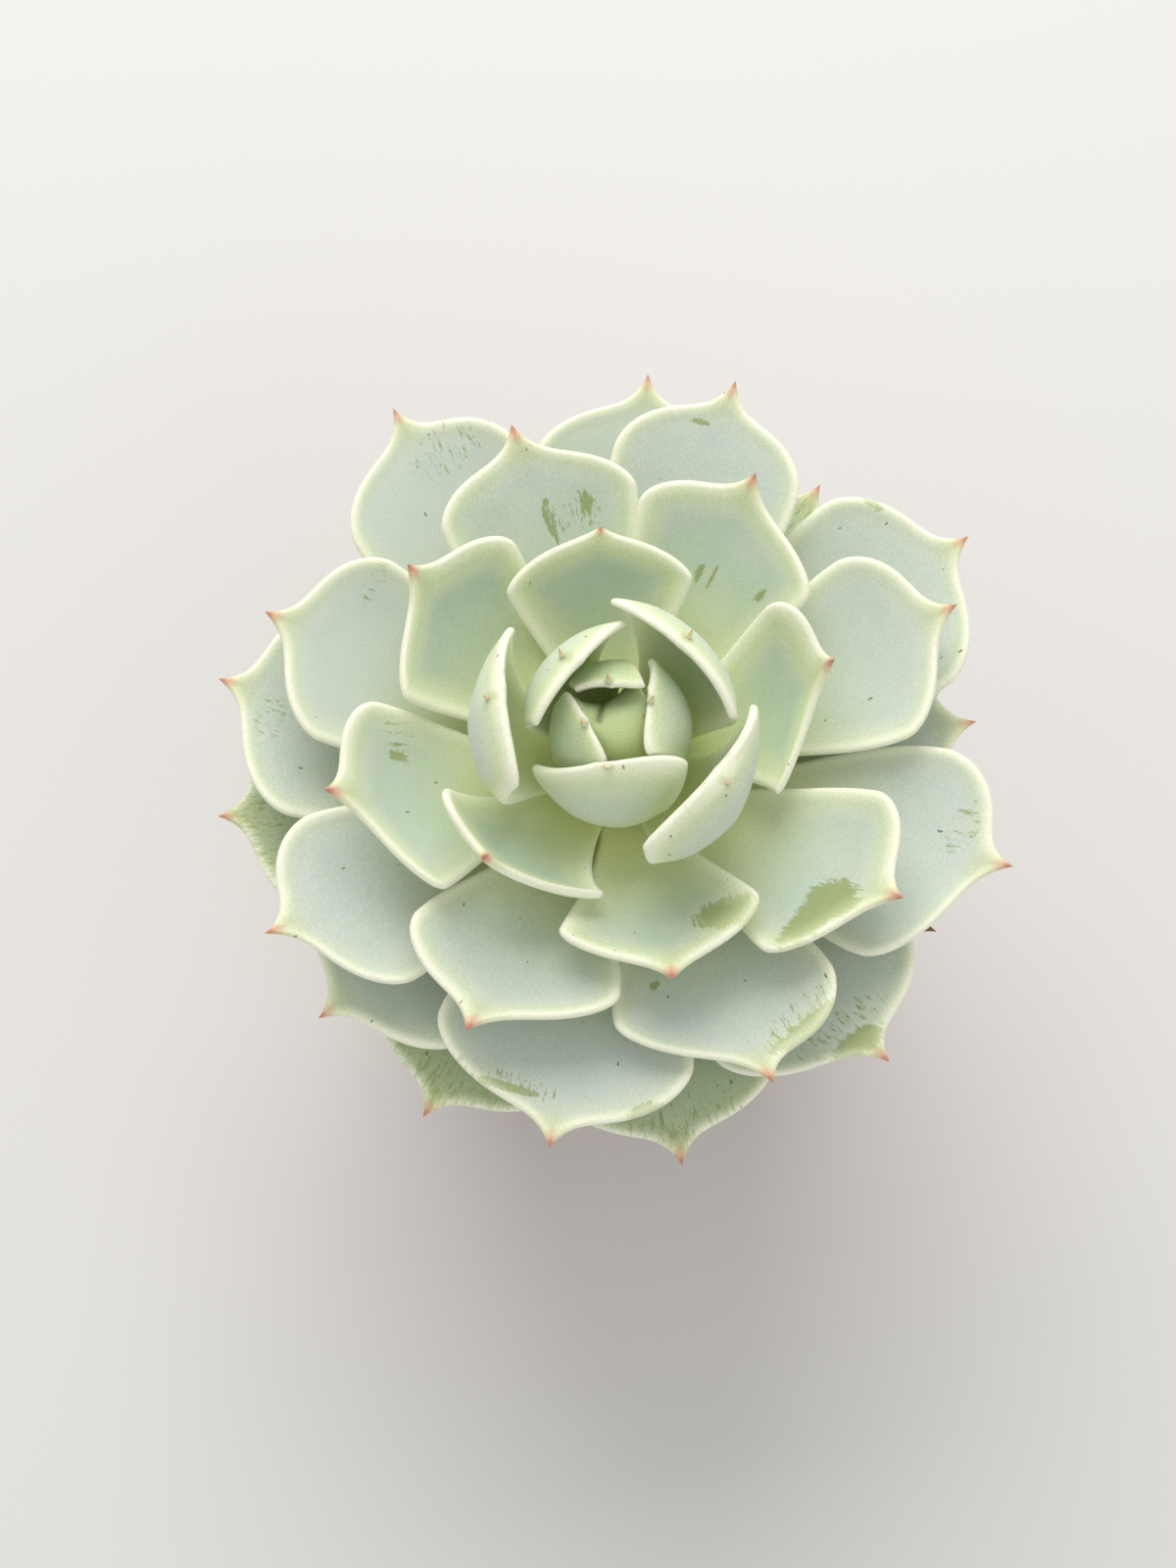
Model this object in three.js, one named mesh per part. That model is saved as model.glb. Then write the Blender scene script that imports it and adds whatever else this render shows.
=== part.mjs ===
// A potted Lola echeveria: 41 fleshy leaves in a golden-angle rosette on a short stem, rooted in gritty soil
// in a plain clay pot. Millimetres, +Z up, origin under the middle of the whole plant on the standing surface.
import * as THREE from "three";

// Rosette. The stem's axis stands a little off the pot's middle, where the spread of the leaves centres itself.
const PLANT_X = 1.2;
const PLANT_Y = -3.8;

// Each leaf, youngest first: direction of its midrib in degrees, distance of its spine's tip from the axis,
// half of its greatest width, shape, sideways set of the spine, and how far its left corner is ahead of the
// middle and its right one behind it. The shape is the widest distance from the axis for the nine closed leaves
// of the bud, and the rise of the tip in degrees for the open ones.
const LEAVES = [
  [292, -3.7, 6.3, 6.8, 0, 0],
  [110, 2.8, 5, 8.9, -0.1, -2.5],
  [206, 4.4, 6.4, 9.2, -0.5, 0.4],
  [11, 4, 8.1, 9.8, 2.2, -3.5],
  [139.5, 7.1, 10.8, 12.8, -0.8, 0.1],
  [261, 7.9, 11.9, 11.9, -2, 4.3],
  [43, 11.2, 12.6, 16.1, -0.4, 2.5],
  [179, 15.9, 13.1, 19.6, -1.6, 2.6],
  [325, 16.6, 14.5, 18.8, 0.5, -2],
  [96, 31.6, 15, 63, -0.9, 0.5],
  [228, 26.7, 14.3, 76, -1.4, -12.5],
  [18, 33, 14, 55, 1.4, 13],
  [140, 40.6, 14.6, 48, -0.6, -4.7],
  [284, 35.6, 15.6, 45, -0.7, 3.6],
  [63, 46.5, 14.9, 40, 0.5, 3],
  [192, 42.3, 15, 45, -1.8, -8],
  [329.5, 46.6, 14.8, 38, 1.3, 4.8],
  [106.5, 53.7, 15.3, 28, 0.6, 1.2],
  [243.5, 46.3, 16.6, 30, -1.2, -4],
  [24.5, 56, 14.7, 25, 0.3, 3],
  [156, 57.3, 15, 25, 0.8, -1.7],
  [294, 52.7, 16.5, 22, 1, 7.5],
  [73.5, 63, 14.7, 22, -0.5, 0.2],
  [207.5, 57.5, 14.8, 20, -1, -3.4],
  [343.5, 60, 17, 18, 1.9, 5.4],
  [122, 66.6, 15, 18, -1.2, -1.3],
  [259.5, 57.5, 19.3, 15, 0.6, 1.8],
  [34.5, 65.5, 17.2, 17, 0, 1],
  [167, 62.2, 17.2, 15, -1, 0],
  [311.5, 59, 17.8, 13, 1.3, 2.8],
  [85.5, 65.8, 17, 13, 0, -0.5],
  [219.5, 57.5, 17, 12, 0, 0],
  [10.5, 56.4, 16.5, 7, 0, 0],
  [143, 55.5, 16.5, 6, 0, 0],
  [279.5, 58.8, 17.5, 9, 0, 0],
  [57, 59.5, 16.5, 6.5, 0, 0],
  [184, 61.1, 16.5, 9, 0, 0],
  [336, 53.5, 14, 5, 0, 0],
  [101, 54, 16, 9, 0, 0],
  [240, 58, 17, 9, 0, 0],
  [20, 56, 16.5, 3, 0, 0],
];
const BUD_LEAVES = 9;
const BUD_SPINE = 0.3; // the end of a closed leaf is nearly plain
const BUD_TAPER = 0.78; // a closed leaf is as wide lower down as at its end
const BUD_ROLL = 0.6; // how much more it curves across at the stem than at its end

// How a leaf changes with its age, at these leaf numbers.
const AGES = [0, 4, 8, 12, 16, 20, 24, 32, 40];
const LAWS = {
  rootRise: [0, 0, -9, -4, -3, -3, -3, -4, -5], // rise of the midrib at the stem, in degrees
  rootRadius: [1.5, 2.8, 4.2, 5.3, 6.3, 7.3, 8, 8.6, 9],
  rootHeight: [103, 101.2, 99.2, 97, 94.8, 92.4, 90, 84.2, 78.6],
  thickness: [1.5, 2, 2.7, 3.2, 3.6, 3.7, 3.7, 3.7, 3.7],
  rootThickness: [0.35, 0.35, 0.4, 0.5, 0.6, 0.65, 0.7, 0.7, 0.7], // share of the thickness
  rootWidth: [0.3, 0.3, 0.32, 0.28, 0.27, 0.25, 0.25, 0.25, 0.25], // share of the width
  taper: [0.7, 0.88, 1, 0.84, 0.8, 0.76, 0.74, 0.74, 0.74], // share of the length where it widens
  wrap: [6, 17.5, 29, 50, 80, 100, 120, 120, 120], // least radius of the curve across the blade
  cup: [0, 0, 0.002, 0.012, 0.011, 0.01, 0.009, 0.008, 0.007], // lift of the margins, per mm of width squared
  spine: [0.3, 0.4, 1.4, 5, 5.4, 5.4, 5.2, 5.2, 5], // how far the spine stands out of the blade's end
  flare: [0.1, 0.12, 0.15, 0.18, 0.18, 0.15, 0.13, 0.12, 0.12], // width of its hollow foot, as a share
  crown: [0.3, 3, 2.4, 0.3, 0.4, 0.9, 1.2, 1.6, 1.6], // how far the blade's end curves back at the sides
  corner: [0.6, 1.1, 2.4, 4.8, 6.3, 7.6, 8, 8, 8], // length of the round corners
};
const LEAST_BLADE = 0.8;

// The blade's section: a round margin, a slightly hollow face above, and the full thickness below, well inside.
const EDGE_RADIUS = 0.65;
const LIP = 0.3;
const LIP_WIDTH = 3.5;
const BODY_DEPTH = 5.5;
const CORNER_POWER = 3;
const THICKNESS_KEYS = [0, 0.3, 0.6, 0.85, 1];

// The bud leans back a little: points shift along Y with their height, less the farther out they are.
const LEAN = 4;
const LEAN_FOOT = 96;
const LEAN_HEIGHT = 26;
const LEAN_RADIUS = 22;

// Rows along a blade: half widths of the rows at its end, then shares of the rest down to the stem.
const TIP_ROWS = [0.06, 0.16, 0.34, 0.6, 0.82, 0.95, 1];
const ROOT_ROWS = [0.86, 0.68, 0.46, 0.22, 0];
const ACROSS = [-1, -0.6, 0, 0.6, 1];

// Stem, soil and pot.
const STEM_GAP = 0.4;
const STEM_DROP = 1.2;
const NECK_RADIUS = 7.6;
const NECK_HEIGHT = 7; // above the soil
const STEM_TURNS = 24;
const DOME_RISE = 0.5;
const ROOT_TOP_RADIUS = 8.4;
const ROOT_END_RADIUS = 3.2;
const ROOT_BOTTOM = 34;
const GAP = 0.4;
const POT_HEIGHT = 74;
const FOOT_RADIUS = 32;
const BODY_RADIUS = 40.5;
const RIM_RADIUS = 45;
const RIM_HEIGHT = 19;
const WALL = 4;
const FLOOR = 6;
const DRAIN_RADIUS = 5;
const EDGE = 1.2;
const SOIL_TOP = 66;
const GRIT = 0.7;
const SOIL_RINGS = 6;
const TURNS = 48;

// The root's side, which the hole in the soil follows: radius and height.
const ROOT_SIDE = [
  [ROOT_END_RADIUS, ROOT_BOTTOM + 1.5],
  [ROOT_TOP_RADIUS - 1.4, SOIL_TOP - 12],
  [ROOT_TOP_RADIUS, SOIL_TOP],
];

const clamp = (x) => Math.min(1, Math.max(0, x));
const smooth = (x) => x * x * (3 - 2 * x);
const radians = THREE.MathUtils.degToRad;

// Straight-line reading of a list of values at the places in keys.
function read(keys, values, at) {
  const next = keys.findIndex((key) => key >= at);
  if (next <= 0) return values[next < 0 ? values.length - 1 : 0];
  const share = (at - keys[next - 1]) / (keys[next] - keys[next - 1]);
  return values[next - 1] + share * (values[next] - values[next - 1]);
}

// All measures of leaf number k. Its midrib is an arc that turns from the root's rise to the tip's rise.
function leafMeasures(k) {
  const [turn, reach, halfWidth, shape, hook, skew] = LEAVES[k];
  const leaf = { turn: radians(turn), halfWidth, hook, skew, roll: 0 };
  for (const [name, values] of Object.entries(LAWS)) leaf[name] = read(AGES, values, k);
  leaf.rootRise = radians(leaf.rootRise);
  const out = reach - leaf.rootRadius;
  let tipRise = radians(shape);
  if (k < BUD_LEAVES) {
    leaf.bend = (shape - leaf.rootRadius) / (1 - Math.sin(leaf.rootRise));
    tipRise = Math.PI - Math.asin(Math.sin(leaf.rootRise) + out / leaf.bend);
    leaf.spine = BUD_SPINE;
    leaf.taper = Math.min(leaf.taper, BUD_TAPER);
    leaf.roll = BUD_ROLL;
  } else {
    leaf.bend = out / (Math.sin(tipRise) - Math.sin(leaf.rootRise));
  }
  leaf.length = leaf.bend * (tipRise - leaf.rootRise);
  return leaf;
}

// Distance from the spine's tip to the blade's end at a place across, 0 in the middle and 1 at the side: a hollow
// flare up to the spine, a low crown, and a round corner.
function endAt(leaf, place) {
  const corner = leaf.corner * (1 - Math.sqrt(1 - place ** CORNER_POWER));
  return leaf.spine * (1 - Math.exp(-place / leaf.flare)) + leaf.crown * place * place + corner;
}

// Share of the full width: the blade narrows like a wedge towards the stem.
function taperAt(leaf, share) {
  return leaf.rootWidth + (1 - leaf.rootWidth) * smooth(clamp(share / leaf.taper));
}

// Heights of the upper and the lower face over the middle sheet.
function facesAt(leaf, share, v, half) {
  const place = Math.min((Math.abs(v) * half) / leaf.halfWidth, 1);
  const toEnd = (1 - share) * leaf.length - endAt(leaf, place);
  const inset = Math.max(Math.min((1 - Math.abs(v)) * half, toEnd), 0);
  const round = EDGE_RADIUS - Math.min(inset, EDGE_RADIUS);
  const edge = Math.max(Math.sqrt(EDGE_RADIUS ** 2 - round ** 2), LEAST_BLADE / 2);
  const full = leaf.thickness * read(THICKNESS_KEYS, [leaf.rootThickness, 1, 0.95, 0.7, 0.5], share);
  const body = Math.max(full - 2 * EDGE_RADIUS, 0) * smooth(clamp(inset / BODY_DEPTH));
  return [edge - LIP * smooth(clamp(inset / LIP_WIDTH)), -edge - body];
}

// Point of the blade's middle sheet: along the midrib's arc, then across on a cupped and wrapped line.
function sheetPoint(leaf, share, across) {
  const along = share * leaf.length + ((leaf.skew * across) / leaf.halfWidth) * share ** 3;
  const rise = leaf.rootRise + along / leaf.bend;
  const radius = leaf.rootRadius + leaf.bend * (Math.sin(rise) - Math.sin(leaf.rootRise));
  const height = leaf.rootHeight - leaf.bend * (Math.cos(rise) - Math.cos(leaf.rootRise));
  const wrap = Math.max(radius, leaf.wrap * (1 - leaf.roll * (1 - clamp(share))));
  const lift = leaf.cup * across * across * Math.sin((clamp(share) * Math.PI) / 2);
  const out = radius - wrap + wrap * Math.cos(across / wrap) - lift * Math.sin(rise);
  const side = wrap * Math.sin(across / wrap);
  const c = Math.cos(leaf.turn);
  const s = Math.sin(leaf.turn);
  return new THREE.Vector3(out * c - side * s, out * s + side * c, height + lift * Math.cos(rise));
}

// Unit normal of the middle sheet, on the side that faces up and to the axis.
function sheetNormal(leaf, share, across) {
  const step = 0.002;
  const along = sheetPoint(leaf, share + step, across).sub(sheetPoint(leaf, share - step, across));
  const side = sheetPoint(leaf, share, across + step).sub(sheetPoint(leaf, share, across - step));
  return along.cross(side).normalize();
}

// Moves a point of the bud back along Y.
function leanBack(point) {
  const lift = smooth(clamp((point.z - LEAN_FOOT) / LEAN_HEIGHT));
  point.y += (LEAN * lift) / (1 + (Math.hypot(point.x, point.y) / LEAN_RADIUS) ** 4);
  return point;
}

// One row across the blade: the upper face from right to left, then the lower face back. Its middle moves aside
// towards the spine.
function leafRow(leaf, share, place) {
  const half = leaf.halfWidth * taperAt(leaf, share) * place;
  const middle = leaf.hook * (1 - place) ** 2;
  const face = (v, side) => {
    const across = v * half + middle;
    const height = facesAt(leaf, share, v, half)[side];
    return leanBack(sheetPoint(leaf, share, across).addScaledVector(sheetNormal(leaf, share, across), height));
  };
  return [...ACROSS.map((v) => face(v, 0)), ...ACROSS.map((v) => face(-v, 1))];
}

// A closed blade: rows joined by bands of triangles, a flat root end and a pointed tip.
function leafGeometry(leaf) {
  const shareAt = (place) => 1 - endAt(leaf, place) / leaf.length;
  const tipRows = TIP_ROWS.map((place) => [shareAt(place), place]);
  const rootRows = ROOT_ROWS.map((part) => [part * shareAt(1), 1]);
  const rows = [...tipRows, ...rootRows].reverse().map(([share, place]) => leafRow(leaf, share, place));
  const around = rows[0].length;
  const points = rows.flat();
  const faces = [];
  for (let i = 0; i < rows.length - 1; i += 1) {
    for (let j = 0; j < around; j += 1) {
      const a = i * around + j;
      const b = i * around + ((j + 1) % around);
      const mirrored = j >= ACROSS.length;
      if (mirrored) faces.push(a, a + around, b, b, a + around, b + around);
      else faces.push(a, b + around, b, a, a + around, b + around);
    }
  }
  for (let j = 0; j < ACROSS.length - 1; j += 1) {
    const low = around - 1 - j;
    faces.push(j, low - 1, low, j, j + 1, low - 1);
  }
  const tip = points.push(leanBack(sheetPoint(leaf, 1, leaf.hook))) - 1;
  const last = (rows.length - 1) * around;
  for (let j = 0; j < around; j += 1) faces.push(last + j, tip, last + ((j + 1) % around));
  const geometry = new THREE.BufferGeometry().setFromPoints(points).setIndex(faces);
  geometry.computeVertexNormals();
  return geometry;
}

function makeLeaf(k) {
  const old = k / (LEAVES.length - 1);
  const colour = new THREE.Color(0xb4c9a8).lerp(new THREE.Color(0xb9c6b6), old);
  const mesh = new THREE.Mesh(
    leafGeometry(leafMeasures(k)),
    new THREE.MeshStandardMaterial({ color: colour, roughness: 0.75, metalness: 0 }),
  );
  mesh.name = "leaf_" + String(k).padStart(2, "0");
  return mesh;
}

// A solid turned about Z from a profile of [radius, height] points, listed from the bottom up.
function turned(profile, segments = TURNS) {
  const points = profile.map(([radius, height]) => new THREE.Vector2(radius, height));
  return new THREE.LatheGeometry(points, segments).rotateX(Math.PI / 2);
}

// The stem fills the middle of the rosette up to its dome and runs down into the soil as one thick root.
function makeStem() {
  const profile = [
    [0, ROOT_BOTTOM],
    ...ROOT_SIDE,
    [NECK_RADIUS, SOIL_TOP + NECK_HEIGHT],
  ];
  for (const age of [...AGES].reverse()) {
    const radius = read(AGES, LAWS.rootRadius, age) - STEM_GAP;
    profile.push([radius, read(AGES, LAWS.rootHeight, age) - STEM_DROP]);
  }
  profile.push([0, LAWS.rootHeight[0] - STEM_DROP + DOME_RISE]);
  const mesh = new THREE.Mesh(
    turned(profile, STEM_TURNS),
    new THREE.MeshStandardMaterial({ color: 0x8f8a62, roughness: 0.85, metalness: 0 }),
  );
  mesh.name = "stem";
  return mesh;
}

// Inner radius of the pot's wall at a height above its floor.
function potInside(height) {
  return read([FLOOR, POT_HEIGHT], [FOOT_RADIUS - WALL, RIM_RADIUS - WALL - 0.5], height);
}

// The soil fills the pot below the rim, with a rough top and a plain hole that the root stands in.
function makeSoil() {
  const hole = ROOT_TOP_RADIUS + GAP;
  const bottom = FLOOR + GAP;
  const wallTop = potInside(SOIL_TOP) - GAP;
    const profile = [
    [0, bottom],
    [potInside(bottom) - GAP, bottom],
    [wallTop, SOIL_TOP],
  ];
  for (let i = 1; i < SOIL_RINGS; i += 1) profile.push([wallTop + ((hole - wallTop) * i) / SOIL_RINGS, SOIL_TOP]);
  for (const [radius, height] of [...ROOT_SIDE].reverse()) profile.push([radius + GAP, height]);
  profile.push([0, ROOT_BOTTOM - GAP]);
  const geometry = turned(profile);
  const place = geometry.attributes.position;
  for (let i = 0; i < place.count; i += 1) {
    const [x, y, z] = [place.getX(i), place.getY(i), place.getZ(i)];
    const radius = Math.hypot(x, y);
    const inHole = z > bottom + 1;
    const toPlant = inHole ? clamp((wallTop - radius) / (wallTop - hole)) : 0;
    const angle = Math.atan2(y, x);
    const bumps = Math.sin(5 * angle + radius) * Math.sin(0.9 * radius) + 0.6 * Math.sin(11 * angle - 0.7 * radius);
    const rough = Math.abs(z - SOIL_TOP) < 0.01 && radius < wallTop - 1 && radius > hole + 1 ? GRIT * bumps : 0;
    place.setXYZ(i, x + PLANT_X * toPlant, y + PLANT_Y * toPlant, z + rough);
  }
  const mesh = new THREE.Mesh(
    geometry,
    new THREE.MeshStandardMaterial({ color: 0x4a3b2e, roughness: 0.95, metalness: 0 }),
  );
  mesh.name = "soil";
  return mesh;
}

// A plain flower pot with a thick rim band and a drain hole, closed all round.
function makePot() {
  const bandFoot = POT_HEIGHT - RIM_HEIGHT;
  const profile = [
    [DRAIN_RADIUS, 0],
    [FOOT_RADIUS - EDGE, 0],
    [FOOT_RADIUS, EDGE],
    [BODY_RADIUS, bandFoot],
    [RIM_RADIUS - 1.6, bandFoot + 0.6],
    [RIM_RADIUS - 1, bandFoot + 1.6],
    [RIM_RADIUS, POT_HEIGHT - EDGE],
    [RIM_RADIUS - EDGE, POT_HEIGHT],
    [potInside(POT_HEIGHT) + EDGE, POT_HEIGHT],
    [potInside(POT_HEIGHT - EDGE), POT_HEIGHT - EDGE],
    [potInside(FLOOR), FLOOR],
    [DRAIN_RADIUS, FLOOR],
    [DRAIN_RADIUS, 0],
  ];
  const mesh = new THREE.Mesh(
    turned(profile),
    new THREE.MeshStandardMaterial({ color: 0xb5714d, roughness: 0.9, metalness: 0 }),
  );
  mesh.name = "pot";
  return mesh;
}

const plant = new THREE.Group();
plant.position.set(PLANT_X, PLANT_Y, 0);
plant.add(makeStem());
LEAVES.forEach((_, k) => plant.add(makeLeaf(k)));

const pottedEcheveria = new THREE.Group();
pottedEcheveria.add(plant, makeSoil(), makePot());

export default pottedEcheveria;
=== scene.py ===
"""A potted Lola echeveria: a rosette of powdery leaves on a short stem, in soil in a plain clay pot."""
import math

import bpy
import numpy as np
from bpy.props import FloatProperty, FloatVectorProperty, IntProperty
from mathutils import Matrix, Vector


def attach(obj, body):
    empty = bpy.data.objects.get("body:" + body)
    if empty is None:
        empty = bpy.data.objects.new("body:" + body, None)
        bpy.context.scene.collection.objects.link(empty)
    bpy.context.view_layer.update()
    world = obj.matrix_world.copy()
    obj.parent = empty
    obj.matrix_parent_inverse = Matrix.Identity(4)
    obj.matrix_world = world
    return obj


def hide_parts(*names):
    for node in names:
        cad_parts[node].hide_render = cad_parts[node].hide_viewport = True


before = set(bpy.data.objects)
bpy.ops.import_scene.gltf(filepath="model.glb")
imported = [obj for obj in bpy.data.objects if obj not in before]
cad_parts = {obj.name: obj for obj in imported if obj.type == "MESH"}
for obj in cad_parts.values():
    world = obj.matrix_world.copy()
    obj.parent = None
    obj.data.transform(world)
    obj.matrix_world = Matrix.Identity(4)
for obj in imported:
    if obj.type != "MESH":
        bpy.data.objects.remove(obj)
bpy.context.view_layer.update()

bl_info = {
    "name": "Potted Lola Echeveria",
    "version": (1, 0, 0),
    "blender": (4, 5, 0),
    "location": "View3D > Sidebar > Echeveria",
    "description": "Leaves, stem, soil and clay pot of a potted rosette succulent",
    "category": "Add Mesh",
}

MM = 0.001

# Axis of the leaves, in millimetres. It is a little off the pot's middle.
PLANT_X = 1.2
PLANT_Y = -3.8

# Each leaf, youngest first, in millimetres and degrees: direction of its midrib, distance of its spine's tip
# from the axis, half of its greatest width, shape, sideways set of the spine, and how far its left corner is
# ahead of the middle. The shape is the widest distance from the axis for a closed leaf of the bud, and the
# tip's rise for others.
LEAVES = (
    (292, -3.7, 6.3, 6.8, 0, 0),
    (110, 2.8, 5, 8.9, -0.1, -2.5),
    (206, 4.4, 6.4, 9.2, -0.5, 0.4),
    (11, 4, 8.1, 9.8, 2.2, -3.5),
    (139.5, 7.1, 10.8, 12.8, -0.8, 0.1),
    (261, 7.9, 11.9, 11.9, -2, 4.3),
    (43, 11.2, 12.6, 16.1, -0.4, 2.5),
    (179, 15.9, 13.1, 19.6, -1.6, 2.6),
    (325, 16.6, 14.5, 18.8, 0.5, -2),
    (96, 31.6, 15, 63, -0.9, 0.5),
    (228, 26.7, 14.3, 76, -1.4, -12.5),
    (18, 33, 14, 55, 1.4, 13),
    (140, 40.6, 14.6, 48, -0.6, -4.7),
    (284, 35.6, 15.6, 45, -0.7, 3.6),
    (63, 46.5, 14.9, 40, 0.5, 3),
    (192, 42.3, 15, 45, -1.8, -8),
    (329.5, 46.6, 14.8, 38, 1.3, 4.8),
    (106.5, 53.7, 15.3, 28, 0.6, 1.2),
    (243.5, 46.3, 16.6, 30, -1.2, -4),
    (24.5, 56, 14.7, 25, 0.3, 3),
    (156, 57.3, 15, 25, 0.8, -1.7),
    (294, 52.7, 16.5, 22, 1, 7.5),
    (73.5, 63, 14.7, 22, -0.5, 0.2),
    (207.5, 57.5, 14.8, 20, -1, -3.4),
    (343.5, 60, 17, 18, 1.9, 5.4),
    (122, 66.6, 15, 18, -1.2, -1.3),
    (259.5, 57.5, 19.3, 15, 0.6, 1.8),
    (34.5, 65.5, 17.2, 17, 0, 1),
    (167, 62.2, 17.2, 15, -1, 0),
    (311.5, 59, 17.8, 13, 1.3, 2.8),
    (85.5, 65.8, 17, 13, 0, -0.5),
    (219.5, 57.5, 17, 12, 0, 0),
    (10.5, 56.4, 16.5, 7, 0, 0),
    (143, 55.5, 16.5, 6, 0, 0),
    (279.5, 58.8, 17.5, 9, 0, 0),
    (57, 59.5, 16.5, 6.5, 0, 0),
    (184, 61.1, 16.5, 9, 0, 0),
    (336, 53.5, 14, 5, 0, 0),
    (101, 54, 16, 9, 0, 0),
    (240, 58, 17, 9, 0, 0),
    (20, 56, 16.5, 3, 0, 0),
)

# The bud's leaves: how many, how long a spine is left on their rims, the most share of their length over
# which they widen, and how much tighter they roll at the stem.
BUD_LEAVES = 9
BUD_SPINE = 0.3
BUD_TAPER = 0.78
BUD_ROLL = 0.6

# The first old leaf, the first scuffed one and how much of its powder that keeps, and the dried one, with
# the share of its length where it starts to wither and the share over which that grows.
SCUFFED_FROM = 33
SCUFFED_BLOOM = 0.62
DRIED_LEAF = 37
DRY_FROM = 0.3
DRY_RUN = 0.5

# How a leaf changes with its age, at these leaf numbers.
AGES = (0, 4, 8, 12, 16, 20, 24, 32, 40)
LAWS = {
    "root_rise": (0, 0, -9, -4, -3, -3, -3, -4, -5),
    "root_radius": (1.5, 2.8, 4.2, 5.3, 6.3, 7.3, 8, 8.6, 9),
    "root_height": (103, 101.2, 99.2, 97, 94.8, 92.4, 90, 84.2, 78.6),
    "thickness": (1.5, 2, 2.7, 3.2, 3.6, 3.7, 3.7, 3.7, 3.7),
    "root_thickness": (0.35, 0.35, 0.4, 0.5, 0.6, 0.65, 0.7, 0.7, 0.7),
    "root_width": (0.3, 0.3, 0.32, 0.28, 0.27, 0.25, 0.25, 0.25, 0.25),
    "taper": (0.7, 0.88, 1, 0.84, 0.8, 0.76, 0.74, 0.74, 0.74),
    "wrap": (6, 17.5, 29, 50, 80, 100, 120, 120, 120),
    "cup": (0, 0, 0.002, 0.012, 0.011, 0.01, 0.009, 0.008, 0.007),
    "spine": (0.3, 0.4, 1.4, 5, 5.4, 5.4, 5.2, 5.2, 5),
    "flare": (0.1, 0.12, 0.15, 0.18, 0.18, 0.15, 0.13, 0.12, 0.12),
    "crown": (0.3, 3, 2.4, 0.3, 0.4, 0.9, 1.2, 1.6, 1.6),
    "corner": (0.6, 1.1, 2.4, 4.8, 6.3, 7.6, 8, 8, 8),
    "bloom": (0.1, 0.68, 0.76, 0.74, 0.86, 0.92, 0.95, 0.82, 0.5),
    "young": (1, 1, 0.9, 0.75, 0.45, 0.25, 0.15, 0.1, 0.1),
}

# How wide the cream margin is, at these leaf numbers.
MARGIN_AGES = (0, 3, 5, 9, 20)
MARGINS = (0.35, 0.75, 1.45, 1.35, 1)

# How far the bud leans back, where that starts and over what height, and the radius at which it is halved.
LEAN = 4
LEAN_FOOT = 96
LEAN_HEIGHT = 26
LEAN_RADIUS = 22

# A leaf's grid: rows from the tip to the corners and from there to the stem, the powers that crowd them
# towards the tip and the corners, points round a row, and how closely these lie in the middle. Between two
# rows the margin has MARGIN_STEPS points, and SMALL is the step by which the directions at a point are taken.
TIP_ROWS = 52
TIP_POWER = 1.6
ROOT_ROWS = 30
ROOT_POWER = 0.8
LEAF_AROUND = 64
MIDDLE_SPACING = 0.35
MARGIN_STEPS = 4
SMALL = 0.002

# How square a leaf's corners are, the margin's radius, how far inside the margin the body is full, how deep
# and how wide the step is from the margin down to the upper face, and the thickness along the leaf beyond
# its root.
CORNER_POWER = 3
EDGE_RADIUS = 0.65
BODY_INSET = 5.5
LIP = 0.3
LIP_WIDTH = 3.5
THICK_AT = (0, 0.3, 0.6, 0.85, 1)
THICKNESSES = (1, 0.95, 0.7, 0.5)

# The spike attribute is the distance from the tip and, by this share, from the midrib. FAR is a distance at
# which nothing shows. The shifts keep one leaf's grain from the next one's, and a back's from its face's.
SPIKE_ASIDE = 0.9
FAR = 9.0
LEAF_SHIFT = 97.0
BACK_SHIFT = 40.0

# Small spines on the backs of the closed leaves 1 to 8: how far below the rim each stands, their length and
# radius, the shares of the length at which the rows start and the poles lie, how blunt and how hollow they
# are, how far beyond the margin's radius the foot is, and how much they point off the back, out and up.
THORN_PLACES = (0.9, 0.7, 0.6, 3.4, 0.8, 2.7, 2.8, 2.3)
THORN_LENGTH = 2.0
THORN_RADIUS = 0.52
THORN_START = -0.35
THORN_POLES = (-0.4, 1.04)
THORN_BLUNT = 0.06
THORN_HOLLOW = 0.9
THORN_OFF = 0.15
THORN_AIM = (0.45, 0.15, 0.9)
THORN_ROWS = 9
THORN_AROUND = 10

# The spike attribute at a thorn's tip and how much it grows to the foot, and how far the olive round the
# foot reaches: towards the rim at least, away from it, and to the sides.
THORN_SPIKE = 0.16
THORN_FADE = 0.6
HALO_AHEAD = 0.8
HALO_BEHIND = 0.6
HALO_ASIDE = 1.2

# Height of the keel along the backs of some closed leaves, its half width as a share of theirs, and how far
# from the margin and over what share of the length it is full.
KEELS = {7: 0.5, 8: 0.9}
KEEL_WIDTH = 0.6
KEEL_INSET = 2
KEEL_RUN = 0.7

# The fold between the two lobes of the innermost leaf: its ends in plan, how far its painted shade and its
# hollow reach, and how deep it is. The face of the next leaf is painted in its shade.
FOLD = ((-0.5, 3.4), (-1.5, -1.6))
FOLD_DARK = 0.45
FOLD_HOLLOW = 1.0
FOLD_DEPTH = 0.45
SHADED_LEAF = 1
SHADED_DARK = 0.6

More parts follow.
